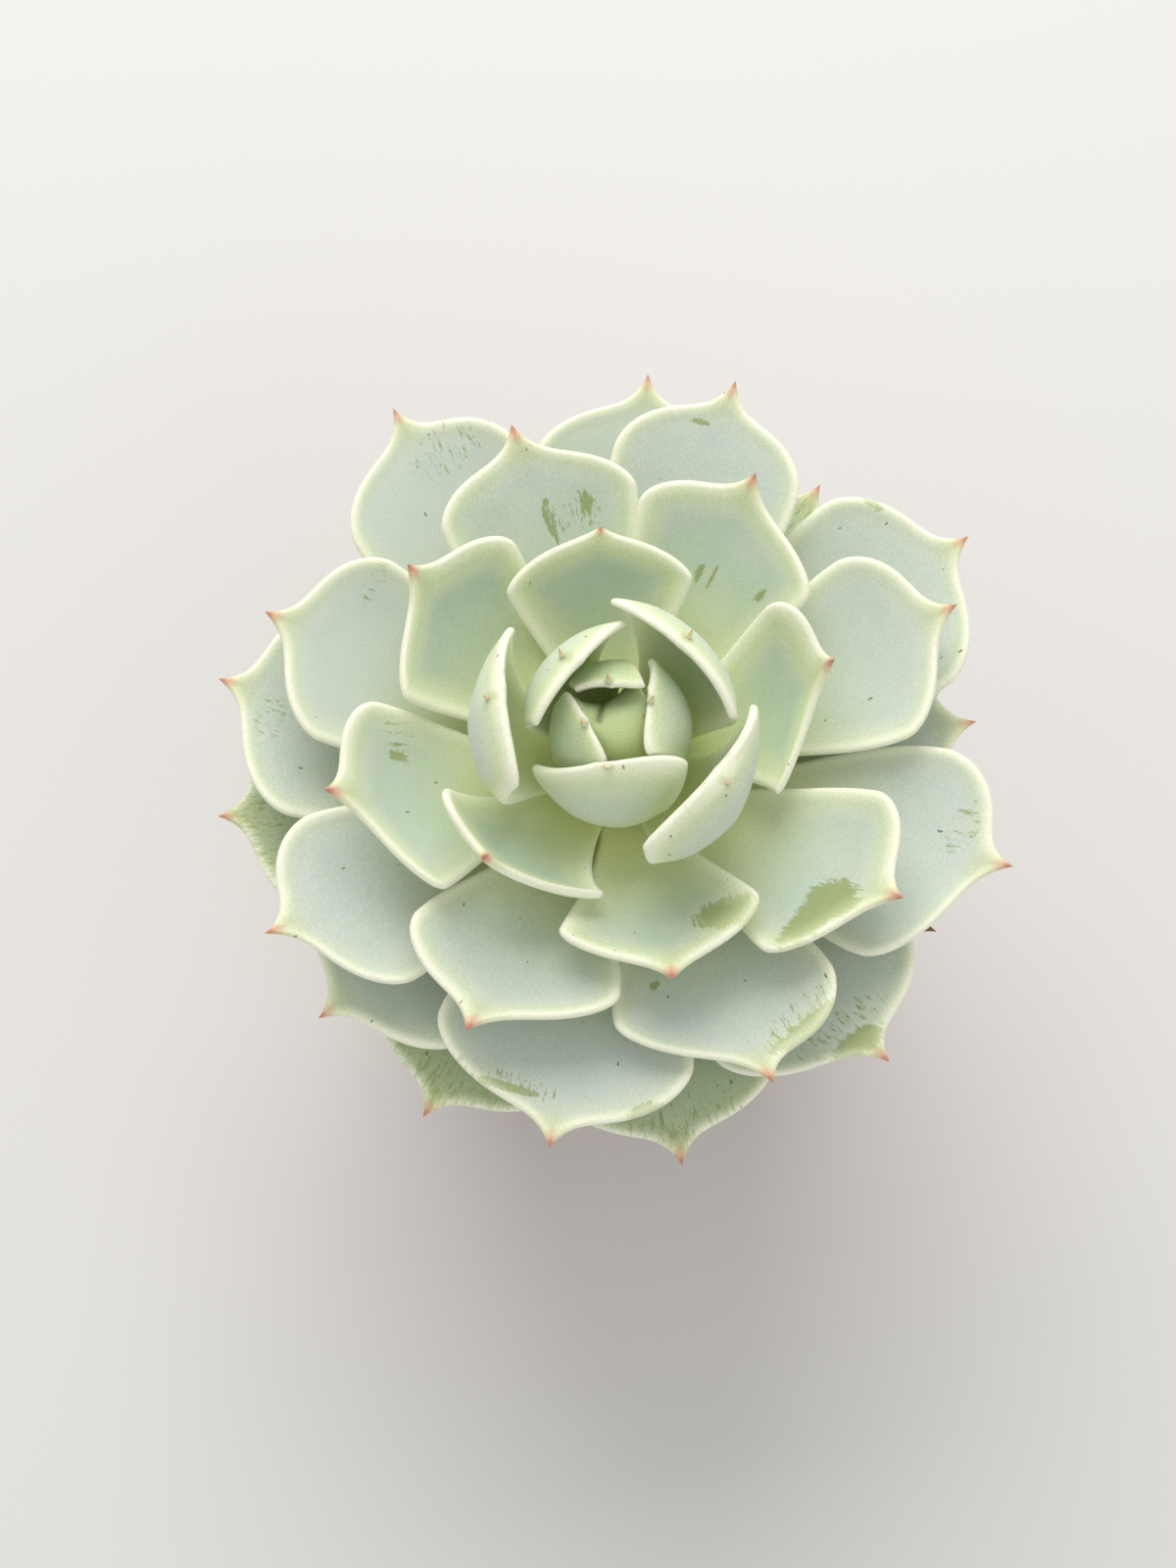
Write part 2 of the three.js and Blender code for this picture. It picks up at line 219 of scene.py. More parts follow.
# Stem and root, in millimetres: gaps to the leaves' roots beside and above, the grid, how deep the leaf
# scars are and over what height above the soil they begin, the neck, and the root. Below the soil's top
# this narrows by its taper down to its shoulder, and then to its end, which is blunt.
STEM_GAP = 0.4
STEM_DROP = 1.2
STEM_ROWS = 120
STEM_AROUND = 96
SCAR_DEPTH = 0.35
SCARS_OVER = 3
NECK_RADIUS = 7.6
NECK_HEIGHT = 7
ROOT_TOP_RADIUS = 8.4
ROOT_TAPER = 1.4
ROOT_SHOULDER = 12
ROOT_END_RADIUS = 3.2
ROOT_BOTTOM = 34
ROOT_END = 1.5

# Soil, in millimetres: its gap to the root and the pot, its top, the grid, the height of its crumbs and how
# far these stay from the wall and the hole.
GAP = 0.4
SOIL_TOP = 66
SOIL_ROWS = 60
SOIL_AROUND = 192
CRUMB_HEIGHT = 0.45
WALL_CLEAR = 1
HOLE_CLEAR = 0.5

# The soil's grains: the grid with its first row's angle from the pole, ranges of size, of stretch along each
# axis and of unevenness, how far the middles lie above the soil's top, how far they stay from the wall and
# the hole, and how the grain attribute is drawn: a range, a power, and what is added.
GRAIN_SEED = 23
GRAIN_ROWS = 4
GRAIN_AROUND = 8
GRAIN_CAP = 0.5
GRAIN_SIZES = (0.5, 1.5)
GRAIN_STRETCH = (0.7, 1.2)
GRAIN_UNEVEN = (0.8, 1.15)
GRAIN_LIFT = 0.2
GRAIN_CLEAR = 2
GRAIN_TONES = (0.12, 1)
GRAIN_TONE_POWER = 1.5
GRAIN_TONE_LEAST = 0.1

# Pot, in millimetres. Its wall is thicker at the rim. The rim's band has an edge and a slope below it, and
# the inside narrows over its top edge. Corners are rounded by POT_ROUNDING, or by ROUNDING_MOST of a side.
POT_HEIGHT = 74
FOOT_RADIUS = 32
BODY_RADIUS = 40.5
RIM_RADIUS = 45
RIM_HEIGHT = 19
WALL = 4
RIM_THICKER = 0.5
FLOOR = 6
DRAIN_RADIUS = 5
EDGE = 1.2
BAND_EDGE = 1
BAND_SLOPE = 0.6
INNER_EDGE = 0.2
POT_AROUND = 160
POT_ROUNDING = 0.55
ROUNDING_POINTS = 4
ROUNDING_MOST = 0.45
POT_WOBBLE = 0.0012

# Sine waves of the leaf scars, the soil's crumbs and the pot's unevenness: seed, range of whole turns round
# the axis, range of pitch along the height or the radius, and how many. PHASES is nearly a full turn.
SCAR_WAVES = (5, (5, 9), (0.6, 1.4), 9)
CRUMB_WAVES = (11, (6, 40), (0.5, 3.0), 16)
POT_WAVES = (3, (2, 5), (0.02, 0.08), 5)
PHASES = 6.28

# Camera: how many of the photograph's pixels one millimetre takes at the rosette's middle, and where it is.
PHOTO_WIDTH = 1200
PHOTO_HEIGHT = 1600
PIXELS_PER_MM = 6.8
MIDDLE_PIXEL = (629, 787)
MIDDLE_HEIGHT = 94
SENSOR_WIDTH = 36

# Lights and floor, in metres. The fill light has a share of the key light's power.
KEY_PLACE = (-0.1, 0.72, 0.78)
KEY_SIZE = 0.8
KEY_COLOUR = (1.0, 0.985, 0.95)
FILL_PLACE = (0.6, -0.8, 0.7)
FILL_SIZE = 1.0
FILL_COLOUR = (0.97, 0.98, 1.0)
FILL_SHARE = 0.2
SKY_COLOUR = (0.98, 0.99, 1.0, 1)
SKY_STRENGTH = 0.62
FLOOR_HALF = 1.5

# Colours of small details, which no setting changes.
CLOUDED_POWDER = (0.72, 0.74, 0.69)
# Painted shade in the fold of the innermost leaf and on the face of the leaf under it.
FOLD_PAINTED_SHADE = (0.11, 0.13, 0.02)
HALO_OLIVE = (0.42, 0.47, 0.14)
SPINE_FOOT = (0.66, 0.66, 0.32)
SPINE_TIP = (0.26, 0.08, 0.05)
DRIED_BROWN = (0.20, 0.12, 0.06)
DUST = (0.10, 0.075, 0.035)
# Painted shade in the hollows of the bark's bump.
BARK_HOLLOW_SHADE = (0.10, 0.08, 0.04)
# Painted shade in the hollows of the soil's bump.
SOIL_HOLLOW_SHADE = (0.012, 0.009, 0.006)
BROWN_GRIT = (0.10, 0.06, 0.035)


class LeafSettings(bpy.types.PropertyGroup):
    flesh: FloatVectorProperty(
        name="Flesh", description="Leaf green where the powder is thin", subtype="COLOR",
        default=(0.52, 0.64, 0.28))
    root: FloatVectorProperty(
        name="Root", description="Yellow-green towards the stem", subtype="COLOR",
        default=(0.68, 0.74, 0.26))
    powder: FloatVectorProperty(
        name="Powder", description="Waxy bloom on the upper face", subtype="COLOR",
        default=(0.66, 0.71, 0.68))
    # Young powder and shade: partly the thinner bloom of young leaves, partly painted shade in the hollow
    # middle of their faces.
    young_powder_and_shade: FloatVectorProperty(
        name="Young powder", description="Thinner, greener bloom inside the young leaves", subtype="COLOR",
        default=(0.39, 0.53, 0.45))
    back_powder: FloatVectorProperty(
        name="Back powder", description="Waxy bloom on the back", subtype="COLOR",
        default=(0.68, 0.75, 0.72))
    # The rim colour is partly the margin's own cream, partly a painted highlight of light on the translucent
    # margin.
    rim: FloatVectorProperty(
        name="Rim", description="Translucent cream margin", subtype="COLOR",
        default=(0.95, 0.96, 0.76))
    # The glow is partly the margin's own yellow-green, partly painted light shining through the thin margin.
    glow: FloatVectorProperty(
        name="Glow", description="Yellow-green inside the margin", subtype="COLOR",
        default=(0.72, 0.80, 0.44))
    spine: FloatVectorProperty(
        name="Spine", description="Pink-orange spine", subtype="COLOR",
        default=(0.70, 0.28, 0.19))
    bare: FloatVectorProperty(
        name="Bare skin", description="Olive skin where the powder is rubbed off", subtype="COLOR",
        default=(0.29, 0.35, 0.10))


class PotSettings(bpy.types.PropertyGroup):
    clay: FloatVectorProperty(
        name="Clay", description="Fired clay", subtype="COLOR", default=(0.42, 0.17, 0.09))
    chalk: FloatVectorProperty(
        name="Chalk", description="Pale mineral bloom on the clay", subtype="COLOR",
        default=(0.62, 0.44, 0.34))
    soil: FloatVectorProperty(
        name="Soil", description="Dark potting mix", subtype="COLOR", default=(0.035, 0.024, 0.016))
    grit: FloatVectorProperty(
        name="Grit", description="Pale pumice grains", subtype="COLOR", default=(0.45, 0.40, 0.33))
    bark: FloatVectorProperty(
        name="Bark", description="Corky stem", subtype="COLOR", default=(0.20, 0.16, 0.08))
    grains: IntProperty(
        name="Grains", description="Loose grains on the soil", default=420, min=0)


class StageSettings(bpy.types.PropertyGroup):
    elevation: FloatProperty(
        name="Camera elevation", description="Camera above the horizon", subtype="ANGLE",
        default=math.radians(75))
    distance: FloatProperty(
        name="Camera distance", description="Camera to the rosette's middle", unit="LENGTH", default=0.45)
    key: FloatProperty(
        name="Key light", description="Power of the large soft light in watts", default=8)
    floor: FloatVectorProperty(
        name="Floor", description="Plain pale floor", subtype="COLOR", default=(0.75, 0.74, 0.72))


def smooth(x):
    """0 below 0, 1 above 1, and an even S-curve between."""
    x = np.clip(x, 0, 1)
    return x * x * (3 - 2 * x)


def leaf_measures(k):
    """All measures of leaf number k. Its midrib is an arc that turns from the root's rise to the tip's."""
    turn, reach, half_width, shape, hook, skew = LEAVES[k]
    leaf = {name: float(np.interp(k, AGES, values)) for name, values in LAWS.items()}
    leaf.update(number=k, turn=math.radians(turn), half_width=half_width, hook=hook, skew=skew, roll=0)
    leaf["root_rise"] = math.radians(leaf["root_rise"])
    start = math.sin(leaf["root_rise"])
    out = reach - leaf["root_radius"]
    if k < BUD_LEAVES:
        leaf["bend"] = (shape - leaf["root_radius"]) / (1 - start)
        tip_rise = math.pi - math.asin(start + out / leaf["bend"])
        leaf["spine"] = BUD_SPINE
        leaf["taper"] = min(leaf["taper"], BUD_TAPER)
        leaf["roll"] = BUD_ROLL
    else:
        tip_rise = math.radians(shape)
        leaf["bend"] = out / (math.sin(tip_rise) - start)
    leaf["length"] = leaf["bend"] * (tip_rise - leaf["root_rise"])
    return leaf


def leaf_rows(leaf):
    """Shares of the length, half widths and middles of the rows, from the stem to the tip. The end is drawn
    by its distance from the tip at a place across: a hollow flare up to the spine, a low crown, and a round
    corner at each side. The middle moves aside towards the spine."""
    place = np.sin(np.linspace(0, math.pi / 2, TIP_ROWS)) ** TIP_POWER
    end = leaf["spine"] * (1 - np.exp(-place / leaf["flare"])) + leaf["crown"] * place ** 2
    end = end + leaf["corner"] * (1 - np.sqrt(1 - place ** CORNER_POWER))
    shares = 1 - end[::-1] / leaf["length"]
    run = np.linspace(0, 1, ROOT_ROWS, endpoint=False) ** ROOT_POWER
    shares = np.concatenate([run * shares[0], shares])
    place = np.concatenate([np.ones(ROOT_ROWS), place[::-1]])
    base = leaf["root_width"] + (1 - leaf["root_width"]) * smooth(shares / leaf["taper"])
    return shares, leaf["half_width"] * base * place, leaf["hook"] * (1 - place) ** 2


def rim_distance(leaf, share, half, v):
    """Distance in millimetres from each point of the flat blade to the nearest point of its margin."""
    margin = np.stack([half[:, 0], share[:, 0] * leaf["length"]], -1)
    steps = np.linspace(0, 1, MARGIN_STEPS, endpoint=False)[None, :, None]
    margin = (margin[:-1, None] * (1 - steps) + margin[1:, None] * steps).reshape(-1, 2)
    points = np.stack([np.abs(v) * half, share * leaf["length"]], -1)[:, :, None]
    return np.sqrt(((points - margin) ** 2).sum(-1).min(-1))


def sheet_points(leaf, share, across):
    """Points of the blade's middle sheet: along the midrib's arc, then across on a cupped, wrapped line."""
    along = share * leaf["length"] + leaf["skew"] * across / leaf["half_width"] * share ** 3
    rise = leaf["root_rise"] + along / leaf["bend"]
    radius = leaf["root_radius"] + leaf["bend"] * (np.sin(rise) - math.sin(leaf["root_rise"]))
    height = leaf["root_height"] - leaf["bend"] * (np.cos(rise) - math.cos(leaf["root_rise"]))
    wrap = np.maximum(radius, leaf["wrap"] * (1 - leaf["roll"] * (1 - np.clip(share, 0, 1))))
    lift = leaf["cup"] * across ** 2 * np.sin(np.clip(share, 0, 1) * math.pi / 2)
    out = radius - wrap + wrap * np.cos(across / wrap) - lift * np.sin(rise)
    side = wrap * np.sin(across / wrap)
    c, s = math.cos(leaf["turn"]), math.sin(leaf["turn"])
    return np.stack([out * c - side * s, out * s + side * c, height + lift * np.cos(rise)], -1)


def sheet_normals(leaf, share, across):
    """Unit normals of the middle sheet, on the side that faces up and to the axis."""
    along = sheet_points(leaf, share + SMALL, across) - sheet_points(leaf, share - SMALL, across)
    side = sheet_points(leaf, share, across + SMALL) - sheet_points(leaf, share, across - SMALL)
    normal = np.cross(along, side)
    return normal / np.linalg.norm(normal, axis=-1, keepdims=True)


def lean_back(points):
    """The bud leans back: points shift along Y with their height, less the farther out they are."""
    lift = smooth((points[..., 2] - LEAN_FOOT) / LEAN_HEIGHT)
    radius = np.hypot(points[..., 0], points[..., 1])
    points[..., 1] += LEAN * lift / (1 + (radius / LEAN_RADIUS) ** 4)
    return points


def closed_faces(rows, around):
    """Faces of a tube of rows with a fan to a first and a last pole, which are the last two vertices."""
    i = np.arange(rows - 1)[:, None] * around
    j = np.arange(around)[None, :]
    k = (j + 1) % around
    quads = np.stack([i + j, i + k, i + around + k, i + around + j], -1).reshape(-1, 4)
    ring = np.arange(around)
    after = (ring + 1) % around
    first, last = rows * around, rows * around + 1
    low = np.stack([after, ring, np.full(around, first)], -1)
    high = np.stack([ring, after, np.full(around, last)], -1) + np.array([1, 1, 0]) * (rows - 1) * around
    return quads, np.concatenate([low, high])


def new_mesh(name, points, quads, triangles, attributes=None):
    """A smooth-shaded object from points in millimetres, quads, triangles and per-vertex attributes."""
    mesh = bpy.data.meshes.new(name)
    corners = np.concatenate([quads.ravel(), triangles.ravel()]).astype(np.int32)
    sizes = np.concatenate([np.full(len(quads), 4), np.full(len(triangles), 3)])
    mesh.vertices.add(len(points))
    mesh.vertices.foreach_set("co", (np.asarray(points) * MM).astype(np.float32).ravel())
    mesh.loops.add(len(corners))
    mesh.loops.foreach_set("vertex_index", corners)
    mesh.polygons.add(len(sizes))
    mesh.polygons.foreach_set("loop_start", np.concatenate([[0], np.cumsum(sizes)[:-1]]).astype(np.int32))
    mesh.polygons.foreach_set("use_smooth", np.ones(len(sizes), bool))
    mesh.update(calc_edges=True)
    mesh.validate()
    for key, values in (attributes or {}).items():
        kind, field = ("FLOAT", "value") if values.ndim == 1 else ("FLOAT_VECTOR", "vector")
        mesh.attributes.new(key, kind, "POINT").data.foreach_set(field, values.astype(np.float32).ravel())
    piece = bpy.data.objects.new(name, mesh)
    bpy.context.scene.collection.objects.link(piece)
    return piece


def dress(piece, node, material):
    """Puts a finished piece in the place of its CAD node."""
    piece.data.materials.append(material)
    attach(piece, "root")
    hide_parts(node)


class Shader:
    """A material's node tree, with short ways to add nodes and join them."""

    def __init__(self, name):
        self.material = bpy.data.materials.new(name)
        self.material.use_nodes = True
        self.tree = self.material.node_tree
        self.surface = self.tree.nodes["Principled BSDF"]

    def put(self, socket, value):
        """Joins a socket to another one, or sets its constant value."""
        if isinstance(value, bpy.types.NodeSocket):
            self.tree.links.new(value, socket)
        elif hasattr(socket.default_value, "__len__") and len(socket.default_value) == 4 and len(value) == 3:
            socket.default_value = (*value, 1)
        else:
            socket.default_value = value

    def set_surface(self, values):
        """Puts values on the surface's own sockets, by name."""
        for key, value in values.items():
            self.put(self.surface.inputs[key], value)

    def node(self, kind, inputs=None, **settings):
        """A new node with its settings and inputs."""
        made = self.tree.nodes.new(kind)
        for key, value in settings.items():
            setattr(made, key, value)
        for key, value in (inputs or {}).items():
            self.put(made.inputs[key], value)
        return made

    def attribute(self, name, output="Fac"):
        """One of the piece's own attributes."""
        return self.node("ShaderNodeAttribute", attribute_name=name).outputs[output]

    def math(self, operation, a, b=0.0, c=0.0):
        """A sum, product or the like of up to three values."""
        return self.node("ShaderNodeMath", {0: a, 1: b, 2: c}, operation=operation).outputs[0]

    def step(self, value, low, high):
        """0 below low, 1 above high, and smooth between."""
        inputs = {"Value": value, "From Min": low, "From Max": high}
        return self.node("ShaderNodeMapRange", inputs, interpolation_type="SMOOTHSTEP").outputs[0]

    def scale(self, value, low, high, to_low, to_high):
        """A straight line from to_low at low to to_high at high, and level beyond."""
        inputs = {"Value": value, "From Min": low, "From Max": high, "To Min": to_low, "To Max": to_high}
        return self.node("ShaderNodeMapRange", inputs).outputs[0]

    def mix(self, share, a, b, blend="MIX"):
        """Colour a with a share of colour b."""
        made = self.node("ShaderNodeMix", data_type="RGBA", blend_type=blend)
        self.put(made.inputs[0], share)
        self.put(made.inputs[6], a)
        self.put(made.inputs[7], b)
        return made.outputs[2]

    def toned(self, colour, tone):
        """The colour times a tone that is near 1."""
        grey = self.node("ShaderNodeCombineColor", {0: tone, 1: tone, 2: tone}).outputs[0]
        return self.mix(1.0, colour, grey, "MULTIPLY")

    def mapped(self, place, scale, turn=0.0):
        """A place stretched along its axes and turned about Z."""
        inputs = {"Vector": place, "Scale": scale, "Rotation": (0, 0, turn)}
        return self.node("ShaderNodeMapping", inputs).outputs[0]

    def noise(self, place, scale, detail=2.0, roughness=0.5):
        """Cloudy noise about 0.5, of which one unit of the place holds scale clouds."""
        inputs = {"Vector": place, "Scale": scale, "Detail": detail, "Roughness": roughness}
        return self.node("ShaderNodeTexNoise", inputs).outputs["Fac"]

    def bump(self, height, strength, distance):
        """Makes the surface look uneven by a height."""
        inputs = {"Height": height, "Strength": strength, "Distance": distance}
        self.put(self.surface.inputs["Normal"], self.node("ShaderNodeBump", inputs).outputs[0])


def leaf_material(settings):
    """Leaf skin: yellow-green flesh under a grey powder that is rubbed off in places, with a cream rim."""
    s = Shader("echeveria_leaf")
    place = s.attribute("place", "Vector")
    grain = s.noise(place, 3.4, 4.0, 0.75)
    cloud = s.noise(place, 0.16, 3.0, 0.55)
    share = s.attribute("share")
    young = s.attribute("young")
    rim = s.attribute("rim")
    margin = s.attribute("margin")

    # Flesh and powder. The powder is thin near the stem and on the youngest leaves. Inside the margin of
    # young faces it is greener and darker: partly thinner bloom, partly painted shade in the leaf's hollow
    # middle.
    flesh = s.mix(s.step(share, 0.2, 0.8), settings.root[:], settings.flesh[:])
    inner = s.math("MULTIPLY", young, s.step(rim, 1.5, 6.0))
    face = s.mix(inner, settings.powder[:], settings.young_powder_and_shade[:])
    powder = s.mix(s.attribute("upper"), settings.back_powder[:], face)
    powder = s.mix(s.scale(cloud, 0.3, 0.7, 0.0, 0.3), powder, CLOUDED_POWDER)
    cover = s.math("MULTIPLY", s.attribute("bloom"), s.scale(share, 0.25, 0.66, 0.30, 1.0))
    cover = s.math("MULTIPLY", cover, s.scale(grain, 0.25, 0.75, 0.80, 1.08))
    colour = s.mix(cover, flesh, powder)

    # Skin bared where the powder was rubbed off, in patches with ragged edges.
    ragged = s.math("SUBTRACT", s.noise(s.mapped(place, (2.2, 0.5, 1.0)), 0.9, 5.0, 0.75), 0.5)
    rubbed = s.step(s.math("MULTIPLY_ADD", ragged, 1.7, s.attribute("rubbed")), 0.44, 0.58)
    colour = s.mix(s.math("MULTIPLY", rubbed, 0.8), colour, settings.bare[:])

    # Cream rim that fades inwards through yellow-green: partly the margin's own colour, partly a painted
    # highlight and painted glow of light through the thin margin.
    glow = s.math("SUBTRACT", 1.0, s.step(s.math("DIVIDE", rim, margin), 0.7, 4.6))
    glow = s.math("MULTIPLY", glow, s.scale(young, 0.1, 0.8, 0.26, 0.8))
    glow = s.math("MULTIPLY", glow, s.step(share, 0.25, 0.7))
    colour = s.mix(glow, colour, settings.glow[:])
    pale = s.math("SUBTRACT", 1.0, s.step(s.math("DIVIDE", rim, margin), 0.1, 2.1))
    pale = s.math("MULTIPLY", pale, s.step(share, 0.15, 0.55))
    pale = s.math("MULTIPLY", pale, s.math("SUBTRACT", 1.0, s.math("MULTIPLY", rubbed, 0.5)))
    colour = s.mix(s.math("MULTIPLY", pale, 0.92), colour, settings.rim[:])

    # Painted shade, deep olive, in the fold of the innermost leaf and over it on the next leaf's face, and
    # paler olive round a closed leaf's thorn.
    colour = s.mix(s.math("MULTIPLY", s.attribute("dark"), 0.9), colour, FOLD_PAINTED_SHADE)
    halo = s.math("MULTIPLY", s.math("SUBTRACT", 1.0, s.step(s.attribute("halo"), 0.25, 1.15)), 0.5)
    colour = s.mix(halo, colour, HALO_OLIVE)

    # Spine: yellow-green foot, pink-orange above it, brown at the very tip.
    spike = s.attribute("spike")
    colour = s.mix(s.scale(spike, 0.6, 1.6, 0.45, 0.0), colour, SPINE_FOOT)
    colour = s.mix(s.scale(spike, 0.2, 0.66, 0.8, 0.0), colour, settings.spine[:])
    colour = s.mix(s.scale(spike, 0.0, 0.3, 0.7, 0.0), colour, SPINE_TIP)

    # Brown where a leaf has withered, and short dark specks of dust.
    colour = s.mix(s.step(s.attribute("dry"), 0.35, 0.75), colour, DRIED_BROWN)
    dashes = s.mapped(place, (2.2, 1.0, 1.0), 0.5)
    cells = s.node("ShaderNodeTexVoronoi", {"Vector": dashes, "Scale": 0.22})
    picked = s.node("ShaderNodeSeparateColor", {"Color": cells.outputs["Color"]})
    size = s.scale(picked.outputs[1], 0.0, 1.0, 0.03, 0.1)
    spot = s.math("LESS_THAN", cells.outputs["Distance"], size)
    spot = s.math("MULTIPLY", spot, s.math("GREATER_THAN", picked.outputs[0], 0.66))
    colour = s.mix(s.math("MULTIPLY", spot, 0.7), colour, DUST)
    s.set_surface({
        "Base Color": s.toned(colour, s.scale(grain, 0.3, 0.7, 0.87, 1.1)),
        "Roughness": s.scale(cover, 0.2, 0.9, 0.42, 0.66),
        "Specular IOR Level": 0.35,
        "Subsurface Weight": 0.35,
        "Subsurface Radius": (0.8, 1.0, 0.45),
        "Subsurface Scale": 0.0016,
        "Sheen Weight": 0.08,
        "Sheen Roughness": 0.6,
    })
    s.bump(grain, 0.14, 0.0002)
    return s.material


def skin_offset(leaf, share, half, v, rim, upper):
    """Distance of the skin from the middle sheet. The margin is round. The upper face lies a little lower
    inside it, and below it the body grows to its full depth, with a keel along some backs."""
    radius = np.minimum(EDGE_RADIUS, half)
    edge = np.sqrt(np.maximum(radius ** 2 - (radius - np.minimum(rim, radius)) ** 2, 0))
    depth = leaf["thickness"] * np.interp(share, THICK_AT, (leaf["root_thickness"], *THICKNESSES))
    body = np.maximum(depth - 2 * radius, 0) * smooth(rim / BODY_INSET)
    keel = KEELS.get(leaf["number"], 0) * np.maximum(1 - np.abs(v) / KEEL_WIDTH, 0)
    body = body + keel * smooth(rim / KEEL_INSET) * smooth(share / KEEL_RUN)
    return np.where(upper, edge - LIP * smooth(rim / LIP_WIDTH), -edge - body)


def fold_distance(points):
    """Distance in plan from each point to the line between the fold's ends."""
    start, end = np.array(FOLD)
    run = end - start
    share = np.clip(((points[:, :2] - start) @ run) / (run @ run), 0, 1)
    return np.linalg.norm(points[:, :2] - start - share[:, None] * run, axis=1)


def leaf_piece(k, material):
    """One leaf: rows across the blade, each one once round its skin, and a pole at the stem and at the tip.
    The attributes tell the material where a point lies."""
    leaf = leaf_measures(k)
    share, half, middle = leaf_rows(leaf)
    angle = np.linspace(0, 2 * math.pi, LEAF_AROUND, endpoint=False)
    share, angle = np.broadcast_arrays(share[:-1, None], angle[None])
    half = half[:-1, None] * np.ones_like(share)
    v = np.cos(angle) * (MIDDLE_SPACING + (1 - MIDDLE_SPACING) * np.abs(np.cos(angle)))
    across = v * half + middle[:-1, None]
    upper = np.sin(angle) > 0
    rim = rim_distance(leaf, share, half, v)
    offset = skin_offset(leaf, share, half, v, rim, upper)
    blade = sheet_points(leaf, share, across) + sheet_normals(leaf, share, across) * offset[..., None]
    ends = np.array([0.0, 1.0])
    poles = sheet_points(leaf, ends, ends * leaf["hook"])
    points = lean_back(np.concatenate([blade.reshape(-1, 3), poles]))
    points = points + np.array([PLANT_X, PLANT_Y, 0])
    fold = fold_distance(points) if k == 0 else np.full(len(points), FAR)
    points[:, 2] -= FOLD_DEPTH * np.exp(-(fold / FOLD_HOLLOW) ** 2)

    from_tip = (1 - share) * leaf["length"]
    # dark is painted shade: in the fold of the innermost leaf, and over the face of the next leaf.
    dark = np.exp(-(fold[:-2].reshape(share.shape) / FOLD_DARK) ** 2)
    spike = (from_tip + SPIKE_ASIDE * np.abs(v * half)) / max(leaf["spine"], 1) + (k < BUD_LEAVES) * FAR
    bloom = leaf["bloom"] * (SCUFFED_BLOOM if k >= SCUFFED_FROM else 1)
    place = (v * half, share * leaf["length"], np.where(upper, 0.0, BACK_SHIFT) + LEAF_SHIFT * k)
    fields = {
        "rim": rim,
        "share": share,
        "spike": spike,
        "upper": upper * 1.0,
        "rubbed": rubbed_at(k, from_tip, across),
        "dry": dry_at(k, share),
        "bloom": np.full_like(share, bloom),
        "young": np.full_like(share, leaf["young"]),
        "margin": np.full_like(share, np.interp(k, MARGIN_AGES, MARGINS)),
        "halo": np.full_like(share, FAR),
        "dark": np.maximum(dark, (k == SHADED_LEAF) * upper * SHADED_DARK),
        "place": np.stack(place, -1),
    }
    attributes = {key: with_poles(value) for key, value in fields.items()}
    quads, triangles = closed_faces(len(share), LEAF_AROUND)
    if 0 < k < BUD_LEAVES:
        points, quads, triangles = add_thorn(leaf, points, quads, triangles, attributes)
    piece = new_mesh("leaf_%02d_skin" % k, points, quads, triangles, attributes)
    dress(piece, "leaf_%02d" % k, material)


def with_poles(grid):
    """The grid's values in one list, with those of its first and last row's first point for the two poles."""
    values = grid.reshape(-1, *grid.shape[2:])
    return np.concatenate([values, grid[[0, -1], 0]])


def add_thorn(leaf, points, quads, triangles, attributes):
    """Joins a small spine to the back of a closed leaf: circles that shrink along a line from inside the
    blade, up and outwards. The halo attribute is the distance from its foot as shares of the halo's reach."""
    below = THORN_PLACES[leaf["number"] - 1]
    share = np.array([1 - below / leaf["length"]])
    spot, normal = sheet_points(leaf, share, 0 * share), sheet_normals(leaf, share, 0 * share)
    ahead = sheet_points(leaf, share + 0.01, 0 * share) - spot
    ahead = ahead / np.linalg.norm(ahead)
    lean = lean_back(spot.copy()) - spot
    foot = spot - normal * (EDGE_RADIUS + THORN_OFF) + lean + np.array([PLANT_X, PLANT_Y, 0])
    outward = np.array([[math.cos(leaf["turn"]), math.sin(leaf["turn"]), 0]])
    off_back, outwards, upwards = THORN_AIM
    axis = -normal * off_back + outward * outwards + np.array([[0, 0, upwards]])
    axis = axis / np.linalg.norm(axis)
    side = np.cross(axis, outward)
    side = side / np.linalg.norm(side)
    other = np.cross(axis, side)
    run = np.linspace(THORN_START, 1, THORN_ROWS)[:, None, None]
    turn = np.linspace(0, 2 * math.pi, THORN_AROUND, endpoint=False)[None, :, None]
    thick = THORN_RADIUS * np.maximum(1 - np.maximum(run, 0), THORN_BLUNT) ** THORN_HOLLOW
    rings = foot + axis * run * THORN_LENGTH + thick * (np.cos(turn) * side - np.sin(turn) * other)
    poles = foot + axis * np.array(THORN_POLES)[:, None] * THORN_LENGTH
    new = np.concatenate([rings.reshape(-1, 3), poles])
    more_quads, more_triangles = closed_faces(THORN_ROWS, THORN_AROUND)

    skin = points - foot
    along = (skin * ahead).sum(-1)
    reach = np.linalg.norm(skin - along[:, None] * ahead, axis=-1)
    stretch = np.where(along > 0, max(below, HALO_AHEAD), HALO_BEHIND)
    attributes["halo"] = np.hypot(along / stretch, reach / HALO_ASIDE) + attributes["upper"] * FAR
    height = np.append(np.repeat(run.ravel(), THORN_AROUND), THORN_POLES)
    for key, value in attributes.items():
        attributes[key] = np.concatenate([value, np.repeat(value[-1:], len(new), axis=0)])
    attributes["spike"][-len(new):] = np.clip(1 - height, 0, 2) * THORN_FADE + THORN_SPIKE
    attributes["halo"][-len(new):] = FAR
    count = len(points)
    return (np.concatenate([points, new]), np.concatenate([quads, more_quads + count]),
            np.concatenate([triangles, more_triangles + count]))


